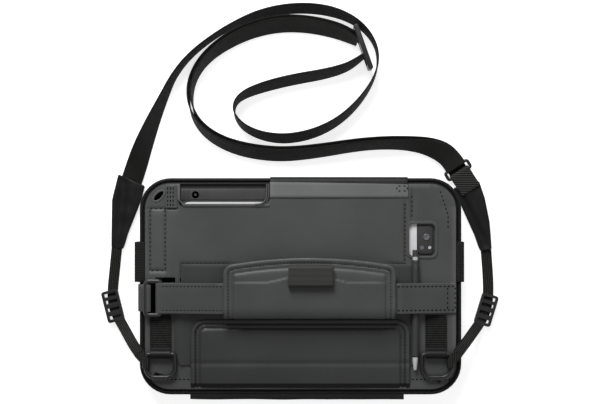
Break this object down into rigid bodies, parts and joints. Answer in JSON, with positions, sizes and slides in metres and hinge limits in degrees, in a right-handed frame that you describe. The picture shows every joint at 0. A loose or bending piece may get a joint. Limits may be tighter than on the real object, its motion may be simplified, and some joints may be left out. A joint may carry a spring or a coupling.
{
  "type": "data collector",
  "caption": "Rugged tablet data collector lying screen-down in a dark leather case with padded hand strap, fold-down flaps and webbing shoulder strap.",
  "frame": {"origin": "on the table under the middle of the case and tablet, without the shoulder strap", "axes": "+Z out of the case's back, +X to the right seen from the back, +Y towards the case's top edge"},
  "size_m": [0.3737, 0.3705, 0.0504],
  "materials": {
    "leather": "dark grey synthetic leather, soft sheen, fine grain",
    "webbing": "black ribbed woven webbing and elastic",
    "buckle_plastic": "black moulded acetal",
    "housing_plastic": "dark grey moulded plastic",
    "glass": "black-edged cover glass",
    "display": "display panel, off",
    "battery": "plain battery pack",
    "circuit_board": "green circuit board",
    "silver_cover": "satin silver paint",
    "screw_steel": "small steel screws",
    "lens_glass": "small clear windows",
    "rubber": "black rubber"
  },
  "bodies": {
    "case": {"adapter_ring": "buckle_plastic", "back_shell": "housing_plastic", "battery_pack": "battery", "bottom_band": "webbing", "camera_island": "housing_plastic", "camera_lens": "lens_glass", "display_panel": "display", "doubled_webbing_inner": "webbing", "doubled_webbing_outer": "webbing", "dring_webbing_left": "webbing", "dring_webbing_right": "webbing", "edge_bindings": "leather", "flash_window": "lens_glass", "frame_screw": "rubber", "front_bezel": "housing_plastic", "front_frame": "leather", "front_glass": "glass", "hand_strap_anchor": "leather", "key_switch_board": "circuit_board", "ladder_lock_left": "buckle_plastic", "ladder_lock_right": "buckle_plastic", "leather_end_left": "leather", "leather_end_right": "leather", "light_sensor": "lens_glass", "main_board": "circuit_board", "main_webbing": "webbing", "narrow_webbing_left": "webbing", "narrow_webbing_right": "webbing", "rear_cover": "silver_cover", "rear_cover_screws": "screw_steel", "rear_panel": "leather", "rear_pocket": "leather", "ribbed_grip": "rubber", "ribbed_strip": "webbing", "rim_piping": "leather", "ring_anchor_tab": "leather", "ring_webbing": "webbing", "side_band_left": "webbing", "side_band_right": "webbing", "side_rim": "leather", "strap_slider": "buckle_plastic"},
    "grip": {"grip_pad": "leather", "pen_loop": "webbing"},
    "left_strap": {"hand_ring": "buckle_plastic", "hand_strap_left": "leather"},
    "right_strap": {"hand_strap_right": "leather"},
    "flap_lower": {"bottom_flap_lower": "leather"},
    "flap_upper": {"bottom_flap_upper": "leather"},
    "top_flap": {"top_flap_panel": "leather", "top_flap_band": "leather"},
    "left_dring": {"dring_left": "buckle_plastic", "strap_loop_left": "webbing"},
    "right_dring": {"dring_right": "buckle_plastic", "strap_loop_right": "webbing"},
    "stylus": {"stylus": "housing_plastic"},
    "key_power": {"power_key": "rubber"},
    "key_volume_up": {"volume_up_key": "rubber"},
    "key_volume_down": {"volume_down_key": "rubber"},
    "key_function_a": {"function_key_a": "rubber"},
    "key_function_b": {"function_key_b": "rubber"}
  },
  "joints": [
    {"name": "grip_lift", "type": "slide", "parent": "case", "child": "grip", "axis": [0, 0, 1], "range_m": [0, 0.012]},
    {"name": "left_strap_swing", "type": "hinge", "parent": "case", "child": "left_strap", "pos_m": [-0.1413, -0.0088, 0.0276], "axis": [0, -1, 0], "range_deg": [0, 10]},
    {"name": "right_strap_swing", "type": "hinge", "parent": "case", "child": "right_strap", "pos_m": [0.13915, -0.0088, 0.0256], "axis": [0, 1, 0], "range_deg": [0, 13.5]},
    {"name": "bottom_flap_swing", "type": "hinge", "parent": "case", "child": "flap_lower", "pos_m": [0, -0.0929, 0.0259], "axis": [1, 0, 0], "range_deg": [0, 150]},
    {"name": "flap_crease", "type": "hinge", "parent": "flap_lower", "child": "flap_upper", "pos_m": [0, -0.0693, 0.0271], "axis": [1, 0, 0], "range_deg": [0, 90]},
    {"name": "top_flap_swing", "type": "hinge", "parent": "case", "child": "top_flap", "pos_m": [0.0358, 0.0842, 0.0237], "axis": [1, 0, 0], "range_deg": [0, 110]},
    {"name": "left_dring_swing", "type": "hinge", "parent": "case", "child": "left_dring", "pos_m": [-0.13, -0.0609, 0.0273], "axis": [-1, 0, 0], "range_deg": [0, 75]},
    {"name": "stylus_slide", "type": "slide", "parent": "case", "child": "stylus", "axis": [0, 1, 0], "range_m": [0, 0.05]},
    {"name": "right_dring_swing", "type": "hinge", "parent": "case", "child": "right_dring", "pos_m": [0.126, -0.0609, 0.0273], "axis": [-1, 0, 0], "range_deg": [0, 75]},
    {"name": "power_key_press", "type": "slide", "parent": "case", "child": "key_power", "axis": [0, 0, 1], "range_m": [0, 0.0007], "stiffness_N_per_m": 800, "springref_m": -0.0005},
    {"name": "volume_up_press", "type": "slide", "parent": "case", "child": "key_volume_up", "axis": [0, 0, 1], "range_m": [0, 0.0007], "stiffness_N_per_m": 800, "springref_m": -0.0005},
    {"name": "volume_down_press", "type": "slide", "parent": "case", "child": "key_volume_down", "axis": [0, 0, 1], "range_m": [0, 0.0007], "stiffness_N_per_m": 800, "springref_m": -0.0005},
    {"name": "function_a_press", "type": "slide", "parent": "case", "child": "key_function_a", "axis": [0, 0, 1], "range_m": [0, 0.0007], "stiffness_N_per_m": 800, "springref_m": -0.0005},
    {"name": "function_b_press", "type": "slide", "parent": "case", "child": "key_function_b", "axis": [0, 0, 1], "range_m": [0, 0.0007], "stiffness_N_per_m": 800, "springref_m": -0.0005}
  ],
  "couplings": [
    {"joint": "left_strap_swing", "follows": "grip_lift", "rad_per_m": 13.755},
    {"joint": "right_strap_swing", "follows": "grip_lift", "rad_per_m": 18.52}
  ]
}
